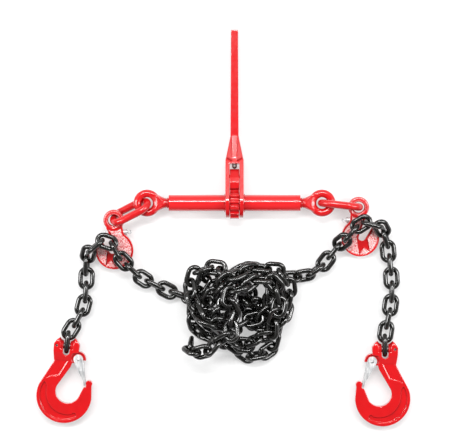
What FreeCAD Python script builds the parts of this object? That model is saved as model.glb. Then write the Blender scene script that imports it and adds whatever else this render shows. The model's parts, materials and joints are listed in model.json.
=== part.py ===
import FreeCAD, Part

import math
import os
import random

from FreeCAD import Matrix, Vector

# Ratchet load binder with a 10 mm grade 80 lashing chain, laid out flat on the ground.
# Millimetres. +X runs along the barrel to its right-hand end, +Y along the handle, +Z is up.
# The layout is drawn about the middle of the barrel. The finished pieces are then moved, so that the
# origin is on the ground under the middle of the whole layout.

# The middle of the whole layout, from the middle of the barrel
MIDDLE = (-23.47, -52.35, 0.0)

# Barrel, screws and eyes
BARREL_LENGTH = 276.0
BARREL_R = 17.0
BARREL_BORE_R = 11.05
BARREL_RELIEF_R = 13.0
NUT_LENGTH = 48.0
SCREW_R = 11.0
SCREW_ROOT_R = 9.3
SCREW_PITCH = 6.0
SCREW_INNER_END_X = 30.0
NECK_R = 10.7
NECK_START_X = 147.0
SHOULDER_R = 23.0
SHOULDER_LENGTH = 26.0
EYE_X = 183.5
EYE_OUTER_R = 28.5
EYE_HOLE_R = 12.0
AXIS_HEIGHT = 33.2

# Ratchet and handle
GEAR_TEETH = 14
GEAR_TIP_R = 32.8
GEAR_ROOT_R = 26.5
GEAR_WIDTH = 18.6
HANDLE_WIDTH = 38.6
HANDLE_SLOT = 20.6
CHEEK_R = 31.0
HANDLE_LENGTH = 365.0
HANDLE_TILT_DEG = 4.0
PAWL_PIVOT_Y = 56.0
PAWL_WIDTH = 19.6
PAWL_PIN_R = 4.0
PLUNGER_R = 4.94
RUNNING_FIT = 0.06

# Coupling links between the eyes and the shortening hooks
COUPLING_WIRE_R = 7.9
COUPLING_END_R = 19.6
COUPLING_HALF_STRAIGHT = 20.5

# Lashing chain
WIRE_R = 5.0
LINK_END_R = 12.5
LINK_HALF_STRAIGHT = 7.5
JOINT_REACH = 14.2
CLEAR_WIRES = 2 * WIRE_R + 0.5
TOTAL_LINKS = 133
NEAR = 51.0
TURN_LIMIT = math.radians(50)
UPRIGHT_LIFT = 1.5
FLOOR_JOINT_HEIGHT = 16.1

# Shortening hooks, with their eye at the local origin and their disc below it
GRAB_EYE_R = 22.0
GRAB_HOLE_R = 11.6
GRAB_DISC_Y = -64.2
GRAB_DISC_R = 39.9
GRAB_HALF_RIM = 8.0
GRAB_HALF_WEB = 6.6
GRAB_HALF_EYE = 7.4
GRAB_RIM_WIDTH = 3.6
GRAB_TILT_DEG = 9.0
GRAB_EYE_HEIGHT = 25.0
SAFETY_PIN_R = 3.0
SAFETY_PIN_Y = -26.0

# Sling hooks, with their load pin at the local origin and their bowl below it
LOAD_PIN_R = 6.5
SLING_PIN_HEIGHT = 17.6
SLING_TILT_DEG = 2.1
SLING_HALF_BODY = 10.6
SLING_HALF_RIM = 11.6
SLING_OUTER = (-4.6, -104.0, 58.0)
SLING_BOWL = (-11.5, -94.5, 25.5)
LATCH_PIVOT = (-26.7, -25.3)
EAR_LEFT_X = -26.7
EAR_RIGHT_X = 27.4
EAR_HALF_SLOT = 6.9

Z_AXIS = Vector(0, 0, 1)
X_AXIS = Vector(1, 0, 0)
Y_AXIS = Vector(0, 1, 0)


# ---------------------------------------------------------------- shape helpers


def cylinder(radius, start, axis, length):
    return Part.makeCylinder(radius, length, Vector(*start), axis)


def slab(low, high):
    """A box between two corners."""
    size = [b - a for a, b in zip(low, high)]
    return Part.makeBox(size[0], size[1], size[2], Vector(*low))


def outline_face(points):
    """A flat face in XY. A pair of points is an arc through the first to the second."""
    edges = []
    last = Vector(points[0][0], points[0][1], 0)
    first = last
    for step in points[1:] + [points[0]]:
        if isinstance(step[0], tuple):
            middle = Vector(step[0][0], step[0][1], 0)
            end = Vector(step[1][0], step[1][1], 0)
            edges.append(Part.Arc(last, middle, end).toShape())
        else:
            end = Vector(step[0], step[1], 0)
            if (end - last).Length > 1e-6:
                edges.append(Part.LineSegment(last, end).toShape())
        last = end
        if step is points[0] or (end - first).Length < 1e-6:
            break
    return Part.Face(Part.Wire(edges))


def plate(points, low, high):
    """An outline in XY, extruded between two heights."""
    face = outline_face(points)
    face.translate(Vector(0, 0, low))
    return face.extrude(Vector(0, 0, high - low))


def side_plate(points, low, high):
    """An outline of (y, z) points, extruded along X between low and high."""
    shape = plate(points, low, high)
    return turned(shape, Vector(0, 0, 0), Y_AXIS, Z_AXIS)


def turned(shape, origin, x_dir, y_dir):
    """A copy of a shape with its local X and Y axes laid along x_dir and y_dir at origin."""
    z_dir = x_dir.cross(y_dir)
    matrix = Matrix(
        x_dir.x, y_dir.x, z_dir.x, origin.x,
        x_dir.y, y_dir.y, z_dir.y, origin.y,
        x_dir.z, y_dir.z, z_dir.z, origin.z,
        0, 0, 0, 1,
    )
    return shape.transformed(matrix, True)


def mirrored(shape):
    """The mirror image in the YZ plane."""
    return shape.mirror(Vector(0, 0, 0), X_AXIS)


def union(shapes):
    return shapes[0].fuse(shapes[1:]).removeSplitter()


def oval_link(half_straight, end_radius, wire_radius):
    """A round-wire link: long axis X, width along Y."""
    pieces = []
    for side in (1, -1):
        start = (-half_straight, side * end_radius, 0)
        pieces.append(cylinder(wire_radius, start, X_AXIS, 2 * half_straight))
        bend = Part.makeTorus(end_radius, wire_radius, Vector(), Z_AXIS, -180, 180, 180)
        bend.rotate(Vector(), Z_AXIS, -90 * side)
        bend.translate(Vector(side * half_straight, 0, 0))
        pieces.append(bend)
    return union(pieces)


def coil_spring(coil_radius, wire_radius, length, turns):
    """A helical spring standing on Z, from 0 to length."""
    rise = length - 2 * wire_radius
    path = Part.makeHelix(rise / turns, rise, coil_radius)
    ring = Part.Circle(Vector(coil_radius, 0, 0), Y_AXIS, wire_radius).toShape()
    spring = Part.Wire(path).makePipeShell([Part.Wire(ring)], True, True)
    spring.translate(Vector(0, 0, wire_radius))
    return spring


# ---------------------------------------------------------------- barrel and ratchet


def barrel_tube():
    half = BARREL_LENGTH / 2
    tube = cylinder(BARREL_R, (-half, 0, 0), X_AXIS, BARREL_LENGTH)
    bore = cylinder(BARREL_BORE_R, (-half - 1, 0, 0), X_AXIS, BARREL_LENGTH + 2)
    relief_half = half - NUT_LENGTH
    relief = cylinder(BARREL_RELIEF_R, (-relief_half, 0, 0), X_AXIS, 2 * relief_half)
    tube = tube.cut(bore).cut(relief)
    groove_outer = BARREL_R + 1
    for side in (1, -1):
        start = (side * (HANDLE_WIDTH / 2 + 1.4) - 0.9, 0, 0)
        groove = cylinder(groove_outer, start, X_AXIS, 1.8)
        groove = groove.cut(cylinder(BARREL_R - 1.2, start, X_AXIS, 1.8))
        tube = tube.cut(groove)
    return tube


def retaining_rings():
    rings = []
    for side in (1, -1):
        start = (side * (HANDLE_WIDTH / 2 + 1.4) - 0.8, 0, 0)
        ring = cylinder(BARREL_R + 2.4, start, X_AXIS, 1.6)
        ring = ring.cut(cylinder(BARREL_R - 1.15, start, X_AXIS, 1.6))
        gap = slab((start[0] - 1, -3, 0), (start[0] + 3, 3, BARREL_R + 4))
        rings.append(ring.cut(gap))
    return Part.makeCompound(rings)


def ratchet_gear():
    """Square-cut teeth, with a gap centred on the handle's own direction."""
    pitch = 2 * math.pi / GEAR_TEETH
    tip_half = math.radians(4.0)
    root_half = math.radians(6.6)
    points = []
    for tooth in range(GEAR_TEETH):
        centre = (tooth + 0.5) * pitch
        corners = (
            (GEAR_ROOT_R, centre - root_half),
            (GEAR_TIP_R, centre - tip_half),
            (GEAR_TIP_R, centre + tip_half),
            (GEAR_ROOT_R, centre + root_half),
        )
        for radius, angle in corners:
            points.append((radius * math.cos(angle), radius * math.sin(angle)))
    half = GEAR_WIDTH / 2
    gear = side_plate(points, -half, half)
    hub = cylinder(GEAR_ROOT_R - 4, (-HANDLE_SLOT / 2 + 0.5, 0, 0), X_AXIS, HANDLE_SLOT - 1)
    bore = cylinder(BARREL_R + 0.02, (-HANDLE_SLOT, 0, 0), X_AXIS, 2 * HANDLE_SLOT)
    return gear.fuse(hub).cut(bore)


def handle_body():
    """Two cheeks round the gear, a tapering shoulder and a long bar."""
    half = HANDLE_WIDTH / 2
    plan = plate(
        [(-half + 1.3, -CHEEK_R - 2), (half - 1.3, -CHEEK_R - 2), (half, -12), (half - 0.3, 90),
         (8.6, 140), (7.3, HANDLE_LENGTH), (-7.3, HANDLE_LENGTH), (-8.6, 140), (-half + 0.3, 90),
         (-half, -12)],
        -CHEEK_R - 2, CHEEK_R + 2)
    tangent = math.radians(78.0)
    rise = (CHEEK_R * math.cos(tangent), CHEEK_R * math.sin(tangent))
    side = side_plate(
        [(rise[0], -rise[1]), (94, -13), (142, -8.6), (HANDLE_LENGTH, -7.3), (HANDLE_LENGTH, 7.3),
         (142, 8.6), (94, 13), rise, ((-CHEEK_R, 0), (rise[0], -rise[1]))],
        -half - 2, half + 2)
    body = plan.common(side)
    slot_half = HANDLE_SLOT / 2
    body = body.cut(slab((-slot_half, -CHEEK_R - 5, -CHEEK_R - 5), (slot_half, 82, CHEEK_R + 5)))
    body = body.cut(cylinder(BARREL_R + RUNNING_FIT, (-half - 5, 0, 0), X_AXIS, HANDLE_WIDTH + 10))
    pin_hole = cylinder(PAWL_PIN_R + 0.02, (-half - 5, PAWL_PIVOT_Y, 0), X_AXIS, HANDLE_WIDTH + 10)
    body = body.cut(pin_hole)
    body = body.cut(cylinder(PLUNGER_R + RUNNING_FIT, (0, 80, 0), Y_AXIS, 32))
    for side_sign in (1, -1):
        facet = plate(
            [(side_sign * 5, 86), (side_sign * 22, 96), (side_sign * 22, 150), (side_sign * 8.2, 140)],
            9, 20)
        facet.rotate(Vector(side_sign * 5, 100, 13), Y_AXIS, side_sign * 28)
        body = body.cut(facet)
    return body


def pawl_body():
    """A two-way pawl with a prong on each side, in its neutral middle position."""
    back_r = 15.6
    back_z = 12.2
    back_y = PAWL_PIVOT_Y + math.sqrt(back_r ** 2 - back_z ** 2)
    points = [
        (28.9, 16.9), (28.5, 18.5), (29.8, 20.1), (42, 22.6), (52, 20.4), (back_y, back_z),
        ((PAWL_PIVOT_Y + back_r, 0), (back_y, -back_z)), (52, -20.4), (42, -22.6),
        (29.8, -20.1), (28.5, -18.5), (28.9, -16.9), (34.6, -14.9), (36.4, -8), (36.4, 8),
        (34.6, 14.9),
    ]
    half = PAWL_WIDTH / 2
    pawl = side_plate(points, -half, half)
    bore = cylinder(PAWL_PIN_R + RUNNING_FIT, (-half - 1, PAWL_PIVOT_Y, 0), X_AXIS, PAWL_WIDTH + 2)
    return pawl.cut(bore)


def pawl_pin():
    half = HANDLE_WIDTH / 2 - 0.2
    pin = cylinder(PAWL_PIN_R, (-half, PAWL_PIVOT_Y, 0), X_AXIS, 2 * half)
    return pin.makeChamfer(0.8, [edge for edge in pin.Edges if edge.Closed])


def detent_plunger():
    nose_y = PAWL_PIVOT_Y + 15.6 + 0.35
    body = cylinder(PLUNGER_R, (0, nose_y + PLUNGER_R, 0), Y_AXIS, 17)
    nose = Part.makeSphere(PLUNGER_R, Vector(0, nose_y + PLUNGER_R, 0))
    return body.fuse(nose)


def detent_spring():
    spring = coil_spring(3.7, 0.7, 16.0, 6)
    return turned(spring, Vector(0, 95.6, 0), X_AXIS, Vector(0, 0, -1))


# ---------------------------------------------------------------- eye bolts and coupling links


def eye_bolt():
    """The right-hand eye: a ring, a teardrop shoulder, a neck and a screw, on the X axis."""
    section_r = (EYE_OUTER_R - EYE_HOLE_R) / 2
    ring = Part.makeTorus(EYE_HOLE_R + section_r, section_r, Vector(EYE_X, 0, 0), Z_AXIS)
    flare = Part.makeCone(NECK_R, SHOULDER_R, SHOULDER_LENGTH, Vector(NECK_START_X, 0, 0), X_AXIS)
    end_x = NECK_START_X + SHOULDER_LENGTH
    wedge = plate(
        [(NECK_START_X - 1, -12), (end_x, -7.4), (end_x, 7.4), (NECK_START_X - 1, 12)],
        -SHOULDER_R - 1, SHOULDER_R + 1)
    wedge.rotate(Vector(), X_AXIS, 90)
    shoulder = flare.common(wedge)
    shoulder = shoulder.cut(cylinder(EYE_HOLE_R + section_r, (EYE_X, 0, -20), Z_AXIS, 40))
    neck = cylinder(NECK_R, (NECK_START_X - 3, 0, 0), X_AXIS, 3.2)
    core = cylinder(SCREW_ROOT_R, (SCREW_INNER_END_X, 0, 0), X_AXIS, NECK_START_X - SCREW_INNER_END_X)
    return union([ring, shoulder, neck, core] + screw_ridges())


def screw_ridges():
    """Trapezoid ridges, one at each pitch."""
    ridges = []
    x = SCREW_INNER_END_X + 2.5
    while x < NECK_START_X - 6:
        profile = [(x - 1.9, SCREW_ROOT_R - 0.4), (x - 1.1, SCREW_R), (x + 1.1, SCREW_R),
                   (x + 1.9, SCREW_ROOT_R - 0.4)]
        face = outline_face(profile)
        ridges.append(face.revolve(Vector(), X_AXIS, 360))
        x += SCREW_PITCH
    return ridges


# ---------------------------------------------------------------- shortening hooks


def grab_plan(inset, low, high):
    """The hook's plan with its edge moved in by inset: an eye, a neck and a disc with a wing."""
    disc = cylinder(GRAB_DISC_R - inset, (0, GRAB_DISC_Y, low), Z_AXIS, high - low)
    neck = plate(
        [(-17.0 + inset, -6), (17.0 - inset, -6), (15.0 - inset, -26), (8, -44), (-30 + inset, -44),
         ((-21.5 + inset, -31), (-18.6 + inset, -18))],
        low, high)
    wing = plate(
        [(32.4 - inset, -34.0 - 2 * inset), ((37.6 - inset, -44), (39.6 - inset, -58)), (30, -74),
         (8, -62)],
        low, high)
    return union([disc, neck, wing])


def grab_slot(margin, low, high):
    """The keyhole at the middle and the flared slot up to the outer shoulder."""
    keyhole = cylinder(7.2 + margin, (3.9, -64.6, low), Z_AXIS, high - low)
    slot = plate(
        [(-2.6 - margin, -61.5), (10.4 + margin, -68), (32.2 + margin, -34.0), (40, -20),
         (30, -6), (15.3 - margin, -18)],
        low, high)
    return keyhole.fuse(slot)


def grab_hook():
    rim = GRAB_HALF_RIM
    web = GRAB_HALF_WEB
    body = grab_plan(0, -rim, rim)
    face_pocket = grab_plan(GRAB_RIM_WIDTH, web, rim + 1)
    face_pocket = face_pocket.cut(cylinder(GRAB_EYE_R, (0, 0, web - 1), Z_AXIS, 10))
    cradle = plate([(-7.2, -68), (-3.6, -101), (6.8, -85.5), (18.6, -95.5), (15.6, -70)], 3.4, rim + 1)
    bevel = grab_slot(4.6, 4.6, rim + 1)
    bevel = bevel.cut(cylinder(GRAB_EYE_R + 3, (0, 0, 0), Z_AXIS, 20))
    for pocket in (face_pocket, cradle, bevel):
        body = body.cut(pocket)
        body = body.cut(pocket.mirror(Vector(), Z_AXIS))
    body = body.cut(cylinder((GRAB_EYE_R + GRAB_HOLE_R) / 2, (0, 0, -20), Z_AXIS, 40))
    body = body.fuse(grab_eye()).cut(grab_slot(0, -20, 20))
    bore = cylinder(SAFETY_PIN_R + RUNNING_FIT, (-30, SAFETY_PIN_Y, 0), X_AXIS, 62)
    pocket = cylinder(4.9, (-30, SAFETY_PIN_Y, 0), X_AXIS, 36)
    return body.cut(bore).cut(pocket)


def grab_eye():
    """The ring round the eye hole, rounded all over."""
    ring = cylinder(GRAB_EYE_R, (0, 0, -GRAB_HALF_EYE), Z_AXIS, 2 * GRAB_HALF_EYE)
    ring = ring.cut(cylinder(GRAB_HOLE_R, (0, 0, -20), Z_AXIS, 40))
    return ring.makeFillet(3.9, [edge for edge in ring.Edges if edge.Closed])


def safety_pin():
    """A spring-loaded pin across the slot's mouth, with a pull knob on the inner side."""
    rod = cylinder(SAFETY_PIN_R, (-29, SAFETY_PIN_Y, 0), X_AXIS, 56)
    collar = cylinder(4.7, (3.6, SAFETY_PIN_Y, 0), X_AXIS, 2)
    shank = cylinder(2.0, (-31.2, SAFETY_PIN_Y, 0), X_AXIS, 7.2)
    knob = Part.makeTorus(3.4, 1.3, Vector(-32.4, SAFETY_PIN_Y, 0), Z_AXIS)
    return union([rod, collar, shank, knob])


def pin_bushing():
    """The plug that closes the spring pocket on the inner side of the neck."""
    plug = cylinder(4.85, (-24.0, SAFETY_PIN_Y, 0), X_AXIS, 8.6)
    flange = cylinder(6.2, (-27.0, SAFETY_PIN_Y, 0), X_AXIS, 3)
    bore = cylinder(SAFETY_PIN_R + RUNNING_FIT, (-30, SAFETY_PIN_Y, 0), X_AXIS, 30)
    return plug.fuse(flange).cut(bore)


def pin_spring():
    spring = coil_spring(3.95, 0.5, 18.6, 6)
    return turned(spring, Vector(-15.2, SAFETY_PIN_Y, 0), Y_AXIS, Z_AXIS)


# ---------------------------------------------------------------- sling hooks


def on_circle(circle, degrees, inset=0.0):
    x, y, radius = circle
    angle = math.radians(degrees)
    return (x + (radius - inset) * math.cos(angle), y + (radius - inset) * math.sin(angle))


def sling_outline(inset):
    """Spine, outer round, point and bowl, with the edge moved in by inset."""
    bowl = (SLING_BOWL[0], SLING_BOWL[1], SLING_BOWL[2] + inset)
    return [
        (26.8 - inset, -10), (23.2 - inset, -33),
        on_circle(SLING_OUTER, 21, inset),
        (on_circle(SLING_OUTER, -90, inset), on_circle(SLING_OUTER, 180, inset)),
        (-60.2 + inset, -78),
        ((-54 + inset, -67.2 - inset), (-47.6 - inset * 0.5, -72 - inset)),
        (-48.6 - inset * 0.5, -81.5), (-43.4 - inset, -83.5),
        on_circle(bowl, 203),
        (on_circle(bowl, -75), on_circle(bowl, 27)),
        (-12.5 + inset, -42.5), (-21 + inset, -10),
    ]


def sling_hook():
    """A clevis hook with its ears about the X axis, and its bowl in the XY plane."""
    body = plate(sling_outline(0), -SLING_HALF_RIM, SLING_HALF_RIM)
    recess = plate(
        [on_circle(SLING_OUTER, 30, 7), (on_circle(SLING_OUTER, -35, 6.5), on_circle(SLING_OUTER, -122, 7)),
         (on_circle(SLING_OUTER, -128, 12), on_circle(SLING_OUTER, -118, 15)),
         (on_circle(SLING_OUTER, -50, 22), on_circle(SLING_OUTER, 15, 19)),
         (on_circle(SLING_OUTER, 27, 14), on_circle(SLING_OUTER, 30, 7))],
        SLING_HALF_RIM - 3.2, SLING_HALF_RIM + 1)
    spine_panel = plate(
        [(23.5, -8), (20, -33), (38, -72), (27, -66), (10, -62), (-14, -14), (-20, -4), (20, -4)],
        SLING_HALF_BODY, SLING_HALF_RIM + 1)
    for pocket in (recess, spine_panel):
        body = body.cut(pocket)
        body = body.cut(pocket.mirror(Vector(), Z_AXIS))
    pivot = (LATCH_PIVOT[0], LATCH_PIVOT[1])
    hood = cylinder(16.4, (pivot[0], pivot[1], -SLING_HALF_BODY), Z_AXIS, 2 * SLING_HALF_BODY)
    hood = hood.cut(slab((-60, -60, -20), (pivot[0], pivot[1] - 1.5, 20)))
    hood = hood.cut(slab((-60, -60, -20), (0, pivot[1] - 9, 20)))
    body = body.fuse(hood)
    boss = cylinder(7.6, (pivot[0], pivot[1], -7.2), Z_AXIS, 14.4)
    for side in (1, -1):
        low = 7.2 if side > 0 else -20
        body = body.cut(cylinder(14.0, (pivot[0], pivot[1], low), Z_AXIS, 12.8))
    body = body.fuse(boss)
    body = body.cut(slab((-60, -60, -20), (-27.5, -36.2, 20)).cut(slab((-60, -60, -20), (-45, -36, 20))))
    ears = plate(
        [(EAR_LEFT_X, -12), (EAR_LEFT_X, 5), (-20.5, 14.5), (-10.5, 21.5), (-7, 19.5), (7, 16.5),
         (14.5, 18.6), (22, 12), (EAR_RIGHT_X, 4), (26.8, -12), (24, -30), (-8, -30), (-14, -14)],
        -20, 20)
    ear_side = side_plate(
        [(-34, -SLING_HALF_BODY), (-14, -14.6), (6, -14.6), ((20.6, 0), (6, 14.6)), (-14, 14.6),
         (-34, SLING_HALF_BODY)],
        -30, 30)
    body = body.fuse(ears.common(ear_side))
    slot = slab((-EAR_HALF_SLOT, -12.4, -30), (EAR_HALF_SLOT, 40, 30))
    slot = slot.fuse(cylinder(EAR_HALF_SLOT, (0, -12.4, -30), Z_AXIS, 60))
    body = body.cut(slot)
    body = body.cut(link_room())
    body = body.cut(cylinder(LOAD_PIN_R + 0.05, (-40, 0, 0), X_AXIS, 80))
    body = body.cut(cylinder(2.55, (21, 0, -20), Z_AXIS, 40))
    body = body.cut(cylinder(2.55, (pivot[0], pivot[1], -20), Z_AXIS, 40))
    body = body.cut(cylinder(6.0, (pivot[0], pivot[1], 4.6), Z_AXIS, 2.7))
    return body.removeSplitter()


def link_room():
    """The dished inner corners of the ears, where the second link of the chain turns."""
    room = []
    for side in (1, -1):
        profile = [(side * 5, 10.6), (side * 7, 10.6), (side * 10, 11.9), (side * 13, 14.3),
                   (side * 16, 18.2), (side * 17.6, 24), (side * 17.6, 40), (side * 5, 40)]
        room.append(outline_face(profile).revolve(Vector(), X_AXIS, 360))
    above = slab((-20, -6, -45), (20, 45, 45))
    return union(room).common(above)


def load_pin():
    pin = cylinder(LOAD_PIN_R, (EAR_LEFT_X + 1.2, 0, 0), X_AXIS, EAR_RIGHT_X - EAR_LEFT_X - 2.4)
    pin = pin.makeChamfer(1.0, [edge for edge in pin.Edges if edge.Closed])
    return pin.cut(cylinder(2.55, (21, 0, -20), Z_AXIS, 40))


def locking_pin():
    """A slotted spring pin through the ear and the load pin."""
    pin = cylinder(2.5, (21, 0, -11), Z_AXIS, 22)
    pin = pin.cut(cylinder(1.5, (21, 0, -12), Z_AXIS, 24))
    return pin.cut(slab((20.6, 0, -12), (21.4, 4, 12)))


def tapered(half_top, half_tip):
    """The latch's thickness seen from the side: even at the pivot and thinner towards the tip."""
    return side_plate(
        [(-90, -half_tip), (-82, -half_tip), (-50, -half_top), (0, -half_top), (0, half_top),
         (-50, half_top), (-82, half_tip), (-90, half_tip)],
        -70, 40)


def latch():
    """A folded sheet: two side plates and a web along the outer edge."""
    pivot = LATCH_PIVOT
    point = (-45.4, -80.4)
    outer = [(pivot[0] - 9.6, pivot[1] + 3.0), (point[0] - 1.6, point[1] + 10), (point[0] - 1.2, point[1]),
             (point[0] + 1.5, point[1] - 0.6), (point[0] + 3.4, point[1] + 9), (pivot[0] + 8.6, pivot[1] - 5.2),
             ((pivot[0] + 4, pivot[1] + 9.2), (pivot[0] - 9.6, pivot[1] + 3.0))]
    inner = [(pivot[0] - 14.0, pivot[1] + 14), (pivot[0] - 14.0, pivot[1] - 3.4),
             (pivot[0] - 9.2, pivot[1] - 3.4), (point[0] + 0.2, point[1] + 10),
             (point[0] + 0.4, point[1] + 3), (30, point[1] + 3), (30, pivot[1] + 14)]
    body = plate(outer, -9.0, 9.0).common(tapered(9.0, 6.2))
    body = body.cut(plate(inner, -7.5, 7.5).common(tapered(7.5, 4.7)))
    return body.cut(cylinder(2.56, (pivot[0], pivot[1], -20), Z_AXIS, 40))


def latch_rivet():
    rivet = cylinder(2.5, (LATCH_PIVOT[0], LATCH_PIVOT[1], -9.2), Z_AXIS, 18.4)
    for side in (1, -1):
        head = Part.makeSphere(4.4, Vector(LATCH_PIVOT[0], LATCH_PIVOT[1], side * 7.4))
        keep = cylinder(4.4, (LATCH_PIVOT[0], LATCH_PIVOT[1], 9.15 if side > 0 else -14), Z_AXIS, 4.85)
        rivet = rivet.fuse(head.common(keep))
    return rivet


def latch_spring():
    spring = coil_spring(4.2, 0.45, 2.3, 1)
    spring.translate(Vector(LATCH_PIVOT[0], LATCH_PIVOT[1], 4.75))
    return spring


# ---------------------------------------------------------------- chain laying


def add(a, b, scale=1.0):
    return (a[0] + scale * b[0], a[1] + scale * b[1], a[2] + scale * b[2])


def dot(a, b):
    return a[0] * b[0] + a[1] * b[1] + a[2] * b[2]


def cross(a, b):
    return (a[1] * b[2] - a[2] * b[1], a[2] * b[0] - a[0] * b[2], a[0] * b[1] - a[1] * b[0])


def link_samples():
    """Points along a link's centre line, as (along, across) in its own frame."""
    points = []
    for side in (1, -1):
        for step in range(4):
            points.append((LINK_HALF_STRAIGHT * (step - 1.5) / 2, side * LINK_END_R))
        for step in range(11):
            angle = math.pi * (step - 5) / 10
            along = side * (LINK_HALF_STRAIGHT + LINK_END_R * math.cos(angle))
            points.append((along, LINK_END_R * math.sin(angle)))
    return points


SAMPLES = link_samples()


class Link:
    """A placed link: its centre, long axis, width axis and the centre line's points."""

    def __init__(self, centre, along, across):
        self.centre = centre
        self.along = along
        self.across = across
        self.normal = cross(along, across)
        cx, cy, cz = centre
        self.points = [
            (
                cx + a * along[0] + b * across[0],
                cy + a * along[1] + b * across[1],
                cz + a * along[2] + b * across[2],
            )
            for a, b in SAMPLES
        ]

    def far_joint(self):
        return add(self.centre, self.along, JOINT_REACH)


def gap_between(link, other):
    """The least distance from one centre line's points to the other centre line."""
    ox, oy, oz = other.centre
    ax, ay, az = other.along
    bx, by, bz = other.across
    nx, ny, nz = other.normal
    least = 1e9
    for x, y, z in link.points:
        dx = x - ox
        dy = y - oy
        dz = z - oz
        off = dx * nx + dy * ny + dz * nz
        along = abs(dx * ax + dy * ay + dz * az)
        across = dx * bx + dy * by + dz * bz
        if along > LINK_HALF_STRAIGHT:
            plane = math.hypot(along - LINK_HALF_STRAIGHT, across) - LINK_END_R
        else:
            plane = abs(across) - LINK_END_R
        least = min(least, plane * plane + off * off)
    return math.sqrt(least)


def nudged(link, rng, size):
    """The link moved and turned a little at random."""
    centre = tuple(c + rng.gauss(0, size) for c in link.centre)
    along = tuple(c + rng.gauss(0, size * 0.03) for c in link.along)
    length = math.sqrt(dot(along, along))
    along = tuple(c / length for c in along)
    across = tuple(c + rng.gauss(0, size * 0.05) for c in link.across)
    across = add(across, along, -dot(across, along))
    length = math.sqrt(dot(across, across))
    return Link(centre, along, tuple(c / length for c in across))


def overlap(link, others, ground):
    """How badly a link digs into the ground and into other links, as a sum of squares."""
    total = max(0.0, ground.shortfall(link) + 0.05) ** 2
    for near in others:
        if math.dist(link.centre, near.centre) < NEAR:
            total += max(0.0, CLEAR_WIRES - gap_between(link, near)) ** 2
    return total


def settle(string, start, ground, fixed, rounds, rng, sink=0.0):
    """Nudges the links from start on until they clear everything, and lets them sink if told to."""
    for _ in range(rounds):
        settled = True
        for index in range(start, len(string)):
            here = string[index]
            others = [l for l in string + fixed
                      if l is not here and math.dist(l.centre, here.centre) < NEAR + 4]
            now = overlap(here, others, ground)
            if now < 1e-9 and not sink:
                continue
            settled = False
            now += sink * here.centre[2]
            size = min(1.2, 0.15 + 0.2 * math.sqrt(now)) if not sink else 0.7
            for _ in range(6):
                trial = nudged(string[index], rng, size)
                value = overlap(trial, others, ground) + sink * trial.centre[2]
                if value < now:
                    string[index] = trial
                    now = value
        if settled:
            break


class Ground:
    """What the chain lies on and must stay clear of: the floor, sloping plates and boxes."""

    def __init__(self):
        self.discs = []
        self.boxes = []

    def height(self, x, y):
        top = 0.0
        for cx, cy, radius, level, slope_x, slope_y in self.discs:
            if (x - cx) ** 2 + (y - cy) ** 2 < radius * radius:
                top = max(top, level + slope_x * (x - cx) + slope_y * (y - cy))
        for low_x, low_y, high_x, high_y, level in self.boxes:
            if low_x < x < high_x and low_y < y < high_y:
                top = max(top, level)
        return top

    def shortfall(self, link):
        """How much too low the link is, over what lies under it."""
        return max(WIRE_R + self.height(x, y) - z for x, y, z in link.points)


def link_axes(heading, climb, roll):
    """The long and width axes for a heading, a climb and a roll, all in radians."""
    along = (
        math.cos(climb) * math.cos(heading),
        math.cos(climb) * math.sin(heading),
        math.sin(climb),
    )
    level = (-math.sin(heading), math.cos(heading), 0.0)
    upright = cross(along, level)
    across = add(tuple(math.cos(roll) * c for c in level), upright, math.sin(roll))
    return along, across


def joined_link(last, heading, climb, roll):
    """The link that hangs in the last one's far end."""
    along, across = link_axes(heading, climb, roll)
    return Link(add(last.far_joint(), along, JOINT_REACH), along, across)


def angle_between(a, b):
    return abs((a - b + math.pi) % (2 * math.pi) - math.pi)


def next_in_pile(last, roll, aim, string, ground, fixed, rng, lift):
    """The candidate that sits lowest with least overlap, or climbs if the chain has to be lifted."""
    best = None
    for _ in range(90):
        heading = aim + rng.gauss(0, 0.25)
        climb = rng.gauss(0.5 if lift else 0.0, 0.42)
        new_roll = roll + math.pi / 2 + rng.gauss(0, 0.3)
        link = joined_link(last, heading, climb, new_roll)
        score = 5 * angle_between(heading, aim)
        if not lift:
            score += link.centre[2] + link.far_joint()[2]
        if best and score > best[0]:
            continue
        score += 24 * math.sqrt(overlap(link, string + fixed, ground))
        if best is None or score < best[0]:
            best = (score, link, new_roll)
    return best[1], best[2]


def pile(first, route, count, ground, fixed, seed):
    """A chain laid link by link along a route, stepping back and climbing where it would jam."""
    rng = random.Random(seed)
    string = [first]
    rolls = [0.6]
    goals = [0]
    lift = 0
    retries = 0
    while len(string) < count:
        last = string[-1]
        joint = last.far_joint()
        goal = goals[-1]
        while goal < len(route) and math.dist(joint[:2], route[goal]) < 26:
            goal += 1
        if goal == len(route):
            break
        ahead = math.atan2(last.along[1], last.along[0])
        wish = math.atan2(route[goal][1] - joint[1], route[goal][0] - joint[0])
        turn = (wish - ahead + math.pi) % (2 * math.pi) - math.pi
        aim = ahead + max(-TURN_LIMIT, min(TURN_LIMIT, turn))
        link, roll = next_in_pile(last, rolls[-1], aim, string, ground, fixed, rng, lift > 0)
        string.append(link)
        rolls.append(roll)
        goals.append(goal)
        settle(string, max(1, len(string) - 4), ground, fixed, 14, rng)
        jam = overlap(string[-1], string[:-1] + fixed, ground)
        lift -= 1
        if jam > 1.0 and retries < 14 and len(string) > 8:
            back = 3 + retries // 4
            del string[-back:], rolls[-back:], goals[-back:]
            lift = back + 1
            retries += 1
        elif jam <= 1.0:
            retries = max(0, retries - 1)
    return string


def loop_route(loops):
    """A wandering line made of ellipses: (centre x, centre y, radius x, radius y, start, turns)."""
    route = []
    for cx, cy, rx, ry, start, turns in loops:
        steps = max(3, round(abs(turns) * 2 * math.pi * (rx + ry) / 2 / 22))
        for step in range(steps):
            angle = math.radians(start) + 2 * math.pi * turns * step / steps
            route.append((cx + rx * math.cos(angle), cy + ry * math.sin(angle)))
    return route


# ---------------------------------------------------------------- layout


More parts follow.
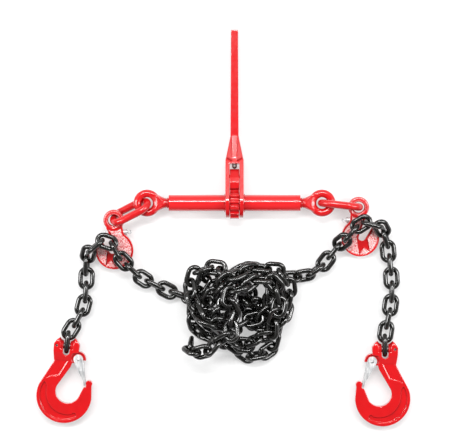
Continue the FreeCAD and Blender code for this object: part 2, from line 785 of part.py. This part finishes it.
def direction(degrees):
    angle = math.radians(degrees)
    return Vector(math.cos(angle), math.sin(angle), 0)


def tilted_frame(origin, plan_degrees, tilt_degrees):
    """Axes of a piece whose local +Y points along plan_degrees in plan and up by tilt_degrees."""
    plan = direction(plan_degrees)
    tilt = math.radians(tilt_degrees)
    y_dir = Vector(plan.x * math.cos(tilt), plan.y * math.cos(tilt), math.sin(tilt))
    x_dir = y_dir.cross(Z_AXIS)
    x_dir.normalize()
    return Vector(*origin), x_dir, y_dir


EYES = {"left": (-EYE_X, 0.0), "right": (EYE_X, 0.0)}
GRAB_EYES = {"left": (-253.5, -35.5), "right": (260.5, -8.5)}
GRAB_AXIS_DEG = {"left": 91.0, "right": 93.4}
COUPLING_EYE_Z = {"left": 34.6, "right": 31.0}
COUPLING_HOOK_Z = {"left": 25.4, "right": 27.7}
COUPLING_ROLL_DEG = {"left": 62.0, "right": 90.0}
SLING_PINS = {"left": (-352.0, -300.0), "right": (316.0, -307.0)}
SLING_AXIS_DEG = {"left": 84.0, "right": 90.0}
LEG_LINKS = {"left": 8, "right": 9}
PILE_NODES = 4
TAIL_START_X = {"left": 123, "right": 167}
TAIL_HEIGHT = 14.1
TUNNEL_HALF_WIDTH = 25.0
TUNNEL_HEIGHT = 29.5
SINK_ROUNDS = 220

# Where each run's joints pass, from the clevis over the shortening hook to the tail under the pile
RUN_ROUTES = {
    "left": [(-339, -262), (-323, -236), (-314, -205), (-312, -175), (-311, -145), (-309, -116),
             (-300, -88), (-276, -74), (-256, -86), (-241, -112), (-221, -134), (-200, -154),
             (-176, -169), (-150, -182), (-122, -195), (-95, -199), (-60, -199), (-22, -199)],
    "right": [(318, -267), (326, -230), (331, -195), (331, -165), (329, -136), (325, -104),
              (318, -72), (303, -43), (282, -36), (258, -49), (238, -72), (214, -93), (197, -116),
              (180, -138), (156, -153), (126, -156), (90, -156), (56, -156)],
}
HEAP_START = (-34, -179)
HEAP_LOOPS = [
    (-12, -188, 46.2, 28.9, 200, -0.9),
    (-6, -278, 50.6, 34.0, 110, 1.15),
    (71, -300, 57.2, 20.4, 190, 1.0),
    (153, -278, 41.8, 34.0, 200, 1.1),
    (225, -244, 41.8, 40.8, 230, 1.15),
    (168, -172, 66.0, 27.2, 330, 1.1),
    (74, -172, 48.4, 30.6, 0, 1.1),
    (5, -235, 55.0, 37.4, 60, 1.1),
    (100, -245, 57.2, 28.9, 190, -1.0),
    (197, -222, 50.6, 30.6, 180, 1.0),
]


def grab_frame(side):
    tilt = GRAB_TILT_DEG
    x, y = GRAB_EYES[side]
    return tilted_frame((x, y, GRAB_EYE_HEIGHT), GRAB_AXIS_DEG[side], tilt)


def sling_frame(side):
    x, y = SLING_PINS[side]
    return tilted_frame((x, y, SLING_PIN_HEIGHT), SLING_AXIS_DEG[side], SLING_TILT_DEG)


def chain_ground():
    """The tops of the shortening hooks and the clevis heads, as the chain meets them."""
    ground = Ground()
    for side in ("left", "right"):
        origin, _, y_dir = grab_frame(side)
        slope = math.tan(math.radians(GRAB_TILT_DEG))
        flat = Vector(y_dir.x, y_dir.y, 0)
        flat.normalize()
        for distance, radius in ((0, GRAB_EYE_R + 4), (-GRAB_DISC_Y, GRAB_DISC_R + 4), (30, 24)):
            cx = origin.x - flat.x * distance
            cy = origin.y - flat.y * distance
            level = origin.z - distance * slope + GRAB_HALF_RIM + 0.6
            ground.discs.append((cx, cy, radius, level, flat.x * slope, flat.y * slope))
    return ground


def clevis_link(side):
    """The end link round the load pin, standing in the clevis slot."""
    origin, _, y_dir = sling_frame(side)
    flat = direction(SLING_AXIS_DEG[side])
    centre = (origin.x + flat.x * 8.2, origin.y + flat.y * 8.2, SLING_PIN_HEIGHT)
    along, across = link_axes(math.radians(SLING_AXIS_DEG[side]), 0.0, math.pi / 2)
    return Link(centre, along, across)


def walk(points, start, strides):
    """Joint places along a line of plan points, each one its own stride from the last."""
    joints = [start]
    goal = 0
    while goal < len(points) and len(joints) <= len(strides):
        here = joints[-1]
        stride = strides[len(joints) - 1]
        if math.dist(here, points[goal]) < stride:
            goal += 1
            continue
        before = points[goal - 1] if goal else start
        low, high = 0.0, 1.0
        for _ in range(30):
            middle = (low + high) / 2
            place = tuple(b + (g - b) * middle for b, g in zip(before, points[goal]))
            if math.dist(here, place) < stride:
                low = middle
            else:
                high = middle
        joints.append(place)
    return joints


def run_links(side, ground):
    """The clevis link and then flat and upright links by turns, lifted where they cross a hook."""
    first = clevis_link(side)
    start = first.far_joint()
    reach = 2 * JOINT_REACH
    heights = [start[2] - 1.3] + [FLOOR_JOINT_HEIGHT] * 40
    tail_x = TAIL_START_X[side]
    for _ in range(60):
        strides = [math.sqrt(reach ** 2 - (b - a) ** 2) for a, b in zip(heights, heights[1:])]
        plan = walk(RUN_ROUTES[side], start[:2], strides)
        joints = [(x, y, z) for (x, y), z in zip(plan, heights)]
        links = [first]
        for index, (low, high) in enumerate(zip(joints, joints[1:])):
            upright = index % 2 == 1
            in_tail = index > 10 and abs(low[0]) < tail_x
            heading = math.atan2(high[1] - low[1], high[0] - low[0])
            climb = math.asin((high[2] - low[2]) / reach)
            roll = math.pi / 2 if upright else 0.0
            if in_tail:
                roll -= math.pi / 4
            along, across = link_axes(heading, climb, roll)
            middle = tuple((a + b) / 2 for a, b in zip(low, high))
            if in_tail:
                middle = (middle[0], middle[1], TAIL_HEIGHT)
            elif upright:
                middle = add(middle, across, UPRIGHT_LIFT)
            link = Link(middle, along, across)
            short = ground.shortfall(link)
            if short > 0:
                heights[index] += 0.3 * short + 0.1
                heights[index + 1] += 0.3 * short + 0.1
            links.append(link)
    return links


def lay_runs(ground):
    """Both runs, each from its clevis link to the tail under the pile."""
    runs = {}
    for side in ("left", "right"):
        runs[side] = run_links(side, ground)
        settle(runs[side], 1, ground, [], 300, random.Random(5))
    return runs


def lay_pile(ground, runs):
    """The slack of the chain, piled over the two tails, which keep a tunnel to themselves."""
    for side, sign in (("left", -1), ("right", 1)):
        x, y, _ = runs[side][-1].centre
        ends = (x - sign * 26, x + sign * 150)
        ground.boxes.append(
            (min(ends), y - TUNNEL_HALF_WIDTH, max(ends), y + TUNNEL_HALF_WIDTH, TUNNEL_HEIGHT))
    fixed = runs["left"] + runs["right"]
    along, across = link_axes(math.radians(40), 0.0, 0.6)
    first = Link((HEAP_START[0], HEAP_START[1], 14.5), along, across)
    count = TOTAL_LINKS - len(fixed)
    links = pile(first, loop_route(HEAP_LOOPS), count, ground, fixed, 11)
    rng = random.Random(3)
    settle(links, 0, ground, fixed, 60, rng)
    settle(links, 0, ground, fixed, SINK_ROUNDS, rng, 0.05)
    settle(links, 0, ground, fixed, 100, rng)
    return links


# ---------------------------------------------------------------- nodes


def chain_node(links):
    base = oval_link(LINK_HALF_STRAIGHT, LINK_END_R, WIRE_R)
    return Part.makeCompound(
        [turned(base, Vector(*l.centre), Vector(*l.along), Vector(*l.across)) for l in links])


def barrel_nodes():
    """The pieces on the barrel's axis: the axis is raised, and the handle leans down to its tip."""
    axis = Vector(0, 0, AXIS_HEIGHT)
    lean = math.radians(HANDLE_TILT_DEG)
    along_handle = Vector(0, math.cos(lean), -math.sin(lean))
    level = {"barrel_tube": barrel_tube(), "retaining_rings": retaining_rings()}
    leaning = {
        "ratchet_gear": ratchet_gear(),
        "handle": handle_body(),
        "pawl": pawl_body(),
        "pawl_pin": pawl_pin(),
        "detent_plunger": detent_plunger(),
        "detent_spring": detent_spring(),
    }
    nodes = {}
    for name, shape in level.items():
        nodes[name] = turned(shape, axis, X_AXIS, Y_AXIS)
    for name, shape in leaning.items():
        nodes[name] = turned(shape, axis, X_AXIS, along_handle)
    return nodes


def coupling_link(side):
    """The link from the eye down to the shortening hook's eye."""
    start = Vector(EYES[side][0], EYES[side][1], COUPLING_EYE_Z[side])
    end = Vector(GRAB_EYES[side][0], GRAB_EYES[side][1], COUPLING_HOOK_Z[side])
    along = end - start
    along.normalize()
    level = Z_AXIS.cross(along)
    level.normalize()
    upright = along.cross(level)
    roll = math.radians(COUPLING_ROLL_DEG[side])
    across = level * math.cos(roll) + upright * math.sin(roll)
    link = oval_link(COUPLING_HALF_STRAIGHT, COUPLING_END_R, COUPLING_WIRE_R)
    return turned(link, (start + end) * 0.5, along, across)


def side_nodes(side):
    """Eye, coupling link, shortening hook and sling hook of one side."""
    def of_side(shape):
        return mirrored(shape) if side == "left" else shape

    nodes = {
        "eye_bolt": turned(of_side(eye_bolt()), Vector(0, 0, AXIS_HEIGHT), X_AXIS, Y_AXIS),
        "coupling_link": coupling_link(side),
    }
    grab = {
        "shortening_hook": grab_hook(),
        "safety_pin": safety_pin(),
        "pin_bushing": pin_bushing(),
        "pin_spring": pin_spring(),
    }
    sling = {
        "sling_hook": sling_hook(),
        "load_pin": load_pin(),
        "locking_pin": locking_pin(),
        "latch": latch(),
        "latch_rivet": latch_rivet(),
        "latch_spring": latch_spring(),
    }
    for shapes, frame in ((grab, grab_frame(side)), (sling, sling_frame(side))):
        for name, shape in shapes.items():
            nodes[name] = turned(of_side(shape), *frame)
    return {f"{side}_{name}": shape for name, shape in nodes.items()}


def chain_nodes():
    """The chain in stretches: the two legs, the two runs over the hooks, and the pile in four."""
    ground = chain_ground()
    runs = lay_runs(ground)
    heap = lay_pile(ground, runs)
    nodes = {}
    for side, links in runs.items():
        top = LEG_LINKS[side]
        nodes[f"{side}_clevis_link"] = chain_node(links[:1])
        nodes[f"{side}_leg_chain"] = chain_node(links[1:top])
        nodes[f"{side}_seated_links"] = chain_node(links[top:top + 3])
        nodes[f"{side}_run_chain"] = chain_node(links[top + 3:])
    share = math.ceil(len(heap) / PILE_NODES)
    for index in range(PILE_NODES):
        nodes[f"pile_chain_{index + 1}"] = chain_node(heap[index * share:(index + 1) * share])
    return nodes


def all_nodes():
    nodes = barrel_nodes()
    for side in ("left", "right"):
        nodes.update(side_nodes(side))
    nodes.update(chain_nodes())
    for shape in nodes.values():
        shape.translate(Vector(*MIDDLE) * -1)
    return nodes


if __name__ == "__main__":
    os.makedirs("parts", exist_ok=True)
    for node_name, node_shape in all_nodes().items():
        state = "ok" if node_shape.isValid() else "INVALID"
        print(f"{node_name:24} {len(node_shape.Solids):3} solids {node_shape.Volume:10.0f} mm3 {state}")
        node_shape.exportStep(f"parts/{node_name}.step")
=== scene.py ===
import json
import math

import bmesh
import bpy
from mathutils import Matrix, Vector

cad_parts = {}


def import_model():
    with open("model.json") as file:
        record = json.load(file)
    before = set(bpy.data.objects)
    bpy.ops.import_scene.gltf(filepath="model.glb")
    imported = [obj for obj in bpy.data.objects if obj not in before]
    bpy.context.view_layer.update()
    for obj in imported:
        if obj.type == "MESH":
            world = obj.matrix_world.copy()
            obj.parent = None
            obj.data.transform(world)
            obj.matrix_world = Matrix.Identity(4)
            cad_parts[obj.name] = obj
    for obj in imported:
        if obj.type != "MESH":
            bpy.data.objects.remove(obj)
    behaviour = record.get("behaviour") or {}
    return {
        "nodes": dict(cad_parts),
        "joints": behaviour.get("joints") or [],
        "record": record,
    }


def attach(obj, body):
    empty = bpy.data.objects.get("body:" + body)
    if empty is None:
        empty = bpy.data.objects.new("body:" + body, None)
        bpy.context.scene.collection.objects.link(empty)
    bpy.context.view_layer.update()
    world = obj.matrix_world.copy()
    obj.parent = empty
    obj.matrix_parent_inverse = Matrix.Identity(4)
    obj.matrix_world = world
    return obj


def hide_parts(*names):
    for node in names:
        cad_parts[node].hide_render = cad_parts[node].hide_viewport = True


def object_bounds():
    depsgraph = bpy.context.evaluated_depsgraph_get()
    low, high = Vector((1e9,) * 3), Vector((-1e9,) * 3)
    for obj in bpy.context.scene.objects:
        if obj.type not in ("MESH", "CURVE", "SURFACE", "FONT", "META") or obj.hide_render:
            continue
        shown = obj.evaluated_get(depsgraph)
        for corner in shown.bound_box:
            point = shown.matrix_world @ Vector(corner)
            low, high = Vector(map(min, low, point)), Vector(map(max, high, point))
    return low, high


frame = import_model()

# The looks of the load binder chain: forged pieces with rounded edges, enamel, black chain, zinc.
# Metres, in the CAD model's frame.

MM = 0.001
SIDES = ("left", "right")

# Enamel: the film where it is thick on plain and on forged pieces, and where it is thin.
DEEP_RED = (0.40, 0.0015, 0.003)
DEEP_FORGED_RED = (0.38, 0.0015, 0.003)
THIN_RED = (0.48, 0.002, 0.004)
PLAIN_LUMPS = 0.04  # the strength of the bumps that forging leaves under the film
FORGED_LUMPS = 0.10
WORN_GAIN = 1.25  # how much lighter the film is along worn edges
WORN_LIFT = 0.01
HOLLOW_SHADE = 0.45  # how dark the painted shade in hollows makes the film

# Copies of CAD nodes.
WELD_DISTANCE = 0.002 * MM  # points this close are one point
ROUND_OVER = 0.5  # how far each round of smoothing moves a point

# The rough skin on the shortening hooks' sunk flats. Heights are in mm from the middle plane.
HOOK_TILT = 9.0  # degrees that the hook's plate leans, as in the CAD model
FLAT_LOW, FLAT_HIGH = 6.1, 7.0
FLAT_FADE = 0.9  # mm outside the flat over which the rough skin ends
FLAT_FACING = 0.75  # how squarely a point faces out of the flat where the skin begins
FLAT_SPREAD = 0.2  # and how much more squarely where it is full

# The room.
FLOOR_SIZE = 6.0  # from the middle to a side
FLOOR_GAP = 0.2 * MM
CAMERA_DISTANCE = 6.0
SENSOR_WIDTH = 36.0  # mm
VIEW_WIDTH = 0.945
VIEW_MIDDLE = Vector((0.0035, 0.0188, 0.025))

joints = {joint["name"]: joint for joint in frame["joints"]}
cad_low, cad_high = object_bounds()


# ---------------------------------------------------------------- materials


def shader_of(material):
    """The material's node tree and its surface shader."""
    tree = material.node_tree
    return tree, tree.nodes["Principled BSDF"]


def new_material(name):
    material = bpy.data.materials.new(name)
    material.use_nodes = True
    return material, *shader_of(material)


def feed(shader, name, source):
    """Links a socket to one of the shader's inputs."""
    shader.id_data.links.new(source, shader.inputs[name])


def noise(tree, scale, detail=4.0, roughness=0.55, stretch=(1.0, 1.0, 1.0)):
    """Noise in the object's own coordinates; scale is in repeats for each metre."""
    coordinates = tree.nodes.new("ShaderNodeTexCoord")
    mapping = tree.nodes.new("ShaderNodeMapping")
    mapping.inputs["Scale"].default_value = stretch
    texture = tree.nodes.new("ShaderNodeTexNoise")
    texture.inputs["Scale"].default_value = scale
    texture.inputs["Detail"].default_value = detail
    texture.inputs["Roughness"].default_value = roughness
    tree.links.new(coordinates.outputs["Object"], mapping.inputs["Vector"])
    tree.links.new(mapping.outputs["Vector"], texture.inputs["Vector"])
    return texture.outputs["Fac"]


def ramp(tree, source, stops):
    """A colour ramp; each stop is (place, colour), where a number is a grey."""
    node = tree.nodes.new("ShaderNodeValToRGB")
    elements = node.color_ramp.elements
    while len(elements) < len(stops):
        elements.new(0.5)
    for element, (place, colour) in zip(elements, stops):
        if not isinstance(colour, tuple):
            colour = (colour, colour, colour)
        element.position = place
        element.color = (*colour, 1.0)
    tree.links.new(source, node.inputs["Fac"])
    return node.outputs["Color"]


def mixed(tree, factor, first, second):
    """Two colours or colour sockets, mixed by a factor socket."""
    node = tree.nodes.new("ShaderNodeMix")
    node.data_type = "RGBA"
    tree.links.new(factor, node.inputs["Factor"])
    for name, value in (("A", first), ("B", second)):
        socket = [s for s in node.inputs if s.name == name and s.type == "RGBA"][0]
        if isinstance(value, tuple):
            socket.default_value = (*value, 1.0)
        else:
            tree.links.new(value, socket)
    return [s for s in node.outputs if s.type == "RGBA"][0]


def bumped(tree, height, depth, strength, below=None):
    """A normal with a height socket's bumps, on top of the normal below if there is one."""
    node = tree.nodes.new("ShaderNodeBump")
    node.inputs["Distance"].default_value = depth
    node.inputs["Strength"].default_value = strength
    tree.links.new(height, node.inputs["Height"])
    if below is not None:
        tree.links.new(below, node.inputs["Normal"])
    return node.outputs["Normal"]


def pointiness(tree):
    """Below one half in hollows and above it along edges."""
    return tree.nodes.new("ShaderNodeNewGeometry").outputs["Pointiness"]


def attribute(tree, name):
    """A value that the mesh stores at each point."""
    node = tree.nodes.new("ShaderNodeAttribute")
    node.attribute_name = name
    return node.outputs["Fac"]


def enamel(name, deep, thin, lumps):
    """Glossy enamel over forged steel: an uneven film, thinner and lighter along the edges, with
    painted shade in its hollows.
    """
    material, tree, shader = new_material(name)
    film = ramp(tree, noise(tree, 38, 5), [(0.3, deep), (0.7, thin)])
    worn = ramp(tree, pointiness(tree), [(0.44, 0.0), (0.6, 1.0)])
    edge = tuple(value * WORN_GAIN + WORN_LIFT for value in thin)
    colour = mixed(tree, worn, film, edge)
    # Painted shade: the film is darkened in the hollows, where shade falls.
    painted_hollow_shade = ramp(tree, pointiness(tree), [(0.40, 1.0), (0.49, 0.0)])
    shade = tuple(value * HOLLOW_SHADE for value in deep)
    feed(shader, "Base Color", mixed(tree, painted_hollow_shade, colour, shade))
    feed(shader, "Roughness", ramp(tree, noise(tree, 90), [(0.3, 0.15), (0.75, 0.28)]))
    forging = bumped(tree, noise(tree, 85, 3), 1.2 * MM, lumps)
    feed(shader, "Normal", bumped(tree, noise(tree, 700, 2), 0.12 * MM, 0.25, forging))
    shader.inputs["Specular IOR Level"].default_value = 0.25
    shader.inputs["Coat Weight"].default_value = 0.85
    shader.inputs["Coat Roughness"].default_value = 0.05
    return material


def rough_enamel():
    """Enamel that turns to a coarse, pink-speckled skin with painted pale glints where the mesh
    says "rough".
    """
    material = enamel("red_enamel_rough_face", DEEP_FORGED_RED, THIN_RED, FORGED_LUMPS)
    tree, shader = shader_of(material)
    smooth_colour = shader.inputs["Base Color"].links[0].from_socket
    smooth_normal = shader.inputs["Normal"].links[0].from_socket
    rough = attribute(tree, "rough")
    grain = noise(tree, 430, 6, 0.7)
    # The pale speckles are painted glints of the coarse skin; the red and pink speckles are its
    # own tone.
    red_grain, pink_grain, painted_glint_grain = (0.56, 0.02, 0.03), (0.70, 0.14, 0.15), (0.90, 0.66, 0.64)
    speckle_and_glints = ramp(tree, grain, [(0.38, red_grain), (0.46, pink_grain), (0.56, painted_glint_grain)])
    feed(shader, "Base Color", mixed(tree, rough, smooth_colour, speckle_and_glints))
    height = tree.nodes.new("ShaderNodeMath")
    height.operation = "MULTIPLY"
    tree.links.new(grain, height.inputs[0])
    tree.links.new(rough, height.inputs[1])
    feed(shader, "Normal", bumped(tree, height.outputs[0], 1.0 * MM, 0.8, smooth_normal))
    return material


def chain_lacquer():
    """Black lacquer over heat-treated steel, rubbed to a dull grey-brown in small spots."""
    material, tree, shader = new_material("chain_black_lacquer")
    deep, thin, bare = (0.002, 0.002, 0.0015), (0.006, 0.0055, 0.0045), (0.030, 0.027, 0.024)
    film = ramp(tree, noise(tree, 120, 6, 0.65), [(0.35, deep), (0.7, thin)])
    scuff = ramp(tree, noise(tree, 520, 3, 0.6), [(0.64, 0.0), (0.76, 0.4)])
    feed(shader, "Base Color", mixed(tree, scuff, film, bare))
    feed(shader, "Roughness", ramp(tree, noise(tree, 45), [(0.3, 0.13), (0.7, 0.17)]))
    waves = bumped(tree, noise(tree, 40, 2), 0.4 * MM, 0.03)
    feed(shader, "Normal", bumped(tree, noise(tree, 700, 2), 0.05 * MM, 0.02, waves))
    shader.inputs["Specular IOR Level"].default_value = 0.9
    return material


def plated(name, dark, light, dullness, streaks, metal=1.0):
    """Plated or bare metal, with faint streaks along Y and dull patches.

    Dullness is the least and the most roughness, and streaks is their repeats for each metre.
    """
    material, tree, shader = new_material(name)
    streaked = noise(tree, streaks, 5, 0.55, (6.0, 0.8, 6.0))
    feed(shader, "Base Color", ramp(tree, streaked, [(0.3, dark), (0.62, light)]))
    least, most = dullness
    feed(shader, "Roughness", ramp(tree, noise(tree, 160, 4), [(0.3, least), (0.7, most)]))
    feed(shader, "Normal", bumped(tree, noise(tree, 600, 3), 0.15 * MM, 0.3))
    shader.inputs["Metallic"].default_value = metal
    return material


red = enamel("red_enamel", DEEP_RED, THIN_RED, PLAIN_LUMPS)
forged_red = enamel("red_enamel_forged", DEEP_FORGED_RED, THIN_RED, FORGED_LUMPS)
face_red = rough_enamel()
black = chain_lacquer()
zinc = plated("zinc_plate", (0.28, 0.29, 0.30), (0.72, 0.72, 0.72), (0.35, 0.55), 60, 0.55)
dark_steel = plated("oiled_steel", (0.10, 0.10, 0.10), (0.26, 0.25, 0.24), (0.25, 0.45), 140)
spring_steel = plated("spring_wire", (0.34, 0.34, 0.35), (0.55, 0.55, 0.56), (0.22, 0.38), 200)

SLOT_MATERIALS = {
    "red_paint": red,
    "chain_black": black,
    "zinc": zinc,
    "dark_steel": dark_steel,
    "spring_steel": spring_steel,
}

node_slots = {part["node"]: part["material_slot"] for part in frame["record"]["subparts"]}
node_bodies = {
    node: body for body, nodes in frame["record"]["behaviour"]["bodies"].items() for node in nodes
}
for node, shown in frame["nodes"].items():
    for slot in shown.material_slots:
        slot.material = SLOT_MATERIALS[node_slots[node]]


# ---------------------------------------------------------------- forged and drawn pieces


def apply_modifiers(piece):
    graph = bpy.context.evaluated_depsgraph_get()
    mesh = bpy.data.meshes.new_from_object(piece.evaluated_get(graph))
    piece.modifiers.clear()
    piece.data = mesh


def joined_copy(node, name):
    """A copy of a CAD node, with its separate faces joined along their edges."""
    mesh = frame["nodes"][node].data.copy()
    shell = bmesh.new()
    shell.from_mesh(mesh)
    bmesh.ops.remove_doubles(shell, verts=shell.verts, dist=WELD_DISTANCE)
    shell.to_mesh(mesh)
    shell.free()
    piece = bpy.data.objects.new(name, mesh)
    bpy.context.scene.collection.objects.link(piece)
    return piece


def finished(piece, node, material):
    """The piece, shaded smooth and riding on the node's body in the node's place."""
    mesh = piece.data
    mesh.materials.clear()
    mesh.materials.append(material)
    for polygon in mesh.polygons:
        polygon.use_smooth = True
    for name in ("custom_normal", "sharp_edge", "sharp_face"):
        if name in mesh.attributes:
            mesh.attributes.remove(mesh.attributes[name])
    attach(piece, node_bodies[node])
    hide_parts(node)
    return piece


def drawn(node, material):
    """A copy of a node made of bent bar, with its facets shaded as one round surface."""
    return finished(joined_copy(node, f"drawn_{node}"), node, material)


def forged(node, material, voxel, rounds):
    """A copy of a CAD node with its edges rounded over, as forging leaves them.

    Voxel is the new mesh's grain in mm, and rounds is how many times it is smoothed.
    """
    piece = joined_copy(node, f"forged_{node}")
    remesh = piece.modifiers.new("skin", "REMESH")
    remesh.mode = "VOXEL"
    remesh.voxel_size = voxel * MM
    smooth = piece.modifiers.new("round_over", "SMOOTH")
    smooth.factor = ROUND_OVER
    smooth.iterations = rounds
    apply_modifiers(piece)
    return finished(piece, node, material)


def shortening_hook_axes(side):
    """The hook's own frame at its eye: x across to the slot's side, y towards the eye, z up."""
    origin = Vector(joints[f"{side}_hook_swing"]["pos_m"])
    pull = Vector(joints[f"{side}_pin_pull"]["axis"])
    x_dir = (pull if side == "left" else -pull).normalized()
    level = Vector((0, 0, 1)).cross(x_dir)
    tilt = math.radians(HOOK_TILT)
    y_dir = level * math.cos(tilt) + Vector((0, 0, math.sin(tilt)))
    z_dir = x_dir.cross(y_dir)
    matrix = Matrix((x_dir, y_dir, z_dir)).transposed().to_4x4()
    return Matrix.Translation(origin) @ matrix


def mark_rough(piece, axes):
    """Marks the sunk flats of the hook's two faces, between the rim and the cradle."""
    to_hook = axes.inverted()
    turn = to_hook.to_3x3()
    middle = (FLAT_LOW + FLAT_HIGH) / 2
    values = []
    for vertex in piece.data.vertices:
        height = abs((to_hook @ vertex.co).z) / MM
        facing = abs((turn @ vertex.normal).z)
        inside = max(0.0, 1.0 - abs(height - middle) / FLAT_FADE)
        if FLAT_LOW < height < FLAT_HIGH:
            inside = 1.0
        values.append(inside * max(0.0, min(1.0, (facing - FLAT_FACING) / FLAT_SPREAD)))
    piece.data.attributes.new("rough", "FLOAT", "POINT").data.foreach_set("value", values)


for side in SIDES:
    forged(f"{side}_sling_hook", forged_red, voxel=0.8, rounds=4)
    forged(f"{side}_eye_bolt", forged_red, voxel=0.8, rounds=3)
    hook = forged(f"{side}_shortening_hook", face_red, voxel=0.7, rounds=4)
    mark_rough(hook, shortening_hook_axes(side))
forged("handle", red, voxel=0.9, rounds=4)
forged("pawl", red, voxel=0.6, rounds=3)
forged("ratchet_gear", red, voxel=0.6, rounds=2)
for node, slot_name in node_slots.items():
    if slot_name == "chain_black":
        drawn(node, black)
for side in SIDES:
    drawn(f"{side}_coupling_link", forged_red)


# ---------------------------------------------------------------- floor, light and camera


def floor_material():
    """Matt grey that gives off some light of its own, so that it shows nearly white."""
    material, tree, shader = new_material("pale_floor")
    feed(shader, "Base Color", ramp(tree, noise(tree, 6, 4), [(0.3, 0.38), (0.7, 0.42)]))
    shader.inputs["Roughness"].default_value = 0.9
    shader.inputs["Specular IOR Level"].default_value = 0.1
    shader.inputs["Emission Color"].default_value = (1.0, 1.0, 1.0, 1.0)
    shader.inputs["Emission Strength"].default_value = 0.48
    return material


def floor():
    mesh = bpy.data.meshes.new("floor")
    height = cad_low.z - FLOOR_GAP
    signs = ((-1, -1), (1, -1), (1, 1), (-1, 1))
    corners = [(x * FLOOR_SIZE, y * FLOOR_SIZE, height) for x, y in signs]
    mesh.from_pydata(corners, [], [(0, 1, 2, 3)])
    mesh.materials.append(floor_material())
    piece = bpy.data.objects.new("floor", mesh)
    bpy.context.scene.collection.objects.link(piece)


def area_light(name, place, size, power):
    """A rectangular lamp that faces the frame's origin."""
    light = bpy.data.lights.new(name, "AREA")
    light.shape = "RECTANGLE"
    light.size, light.size_y = size
    light.energy = power
    lamp = bpy.data.objects.new(name, light)
    lamp.location = place
    lamp.rotation_mode = "QUATERNION"
    lamp.rotation_quaternion = (-Vector(place)).to_track_quat("-Z", "Y")
    bpy.context.scene.collection.objects.link(lamp)


def world():
    """A dark ceiling, a bright band below it, and less light from the front (the -Y side)."""
    sky = bpy.data.worlds.new("soft_room")
    sky.use_nodes = True
    tree = sky.node_tree
    coordinates = tree.nodes.new("ShaderNodeTexCoord")
    direction = tree.nodes.new("ShaderNodeSeparateXYZ")
    tree.links.new(coordinates.outputs["Generated"], direction.inputs["Vector"])
    floor_to_band = [(0.0, 0.45), (0.4, 0.5), (0.6, 1.0)]
    band_to_ceiling = [(0.8, 1.0), (0.92, 0.08), (1.0, 0.06)]
    band = ramp(tree, direction.outputs["Z"], floor_to_band + band_to_ceiling)
    backward = tree.nodes.new("ShaderNodeMath")  # from 0 at the front to 1 at the back
    backward.operation = "MULTIPLY_ADD"
    tree.links.new(direction.outputs["Y"], backward.inputs[0])
    backward.inputs[1].default_value = 0.5
    backward.inputs[2].default_value = 0.5
    behind = ramp(tree, backward.outputs[0], [(0.25, 0.0), (0.5, 1.0)])
    tone = mixed(tree, behind, (0.25, 0.25, 0.25), band)
    background = tree.nodes["Background"]
    tree.links.new(tone, background.inputs["Color"])
    background.inputs["Strength"].default_value = 0.9
    bpy.context.scene.world = sky
    bpy.context.scene.view_settings.view_transform = "Standard"


def camera():
    """Straight down from far away, as the object is seen from above."""
    data = bpy.data.cameras.new("camera")
    data.sensor_width = SENSOR_WIDTH
    data.lens = SENSOR_WIDTH * CAMERA_DISTANCE / VIEW_WIDTH
    eye = bpy.data.objects.new("camera", data)
    eye.location = VIEW_MIDDLE + Vector((0, 0, CAMERA_DISTANCE))
    bpy.context.scene.collection.objects.link(eye)
    bpy.context.scene.camera = eye


floor()
world()
area_light("core", (-0.3, 3.3, 7.29), size=(4.8, 0.7), power=470)
area_light("left", (-1.3, 0.1, 1.3), size=(0.45, 1.1), power=20)
area_light("right", (1.3, 0.1, 1.3), size=(0.45, 1.1), power=20)
camera()
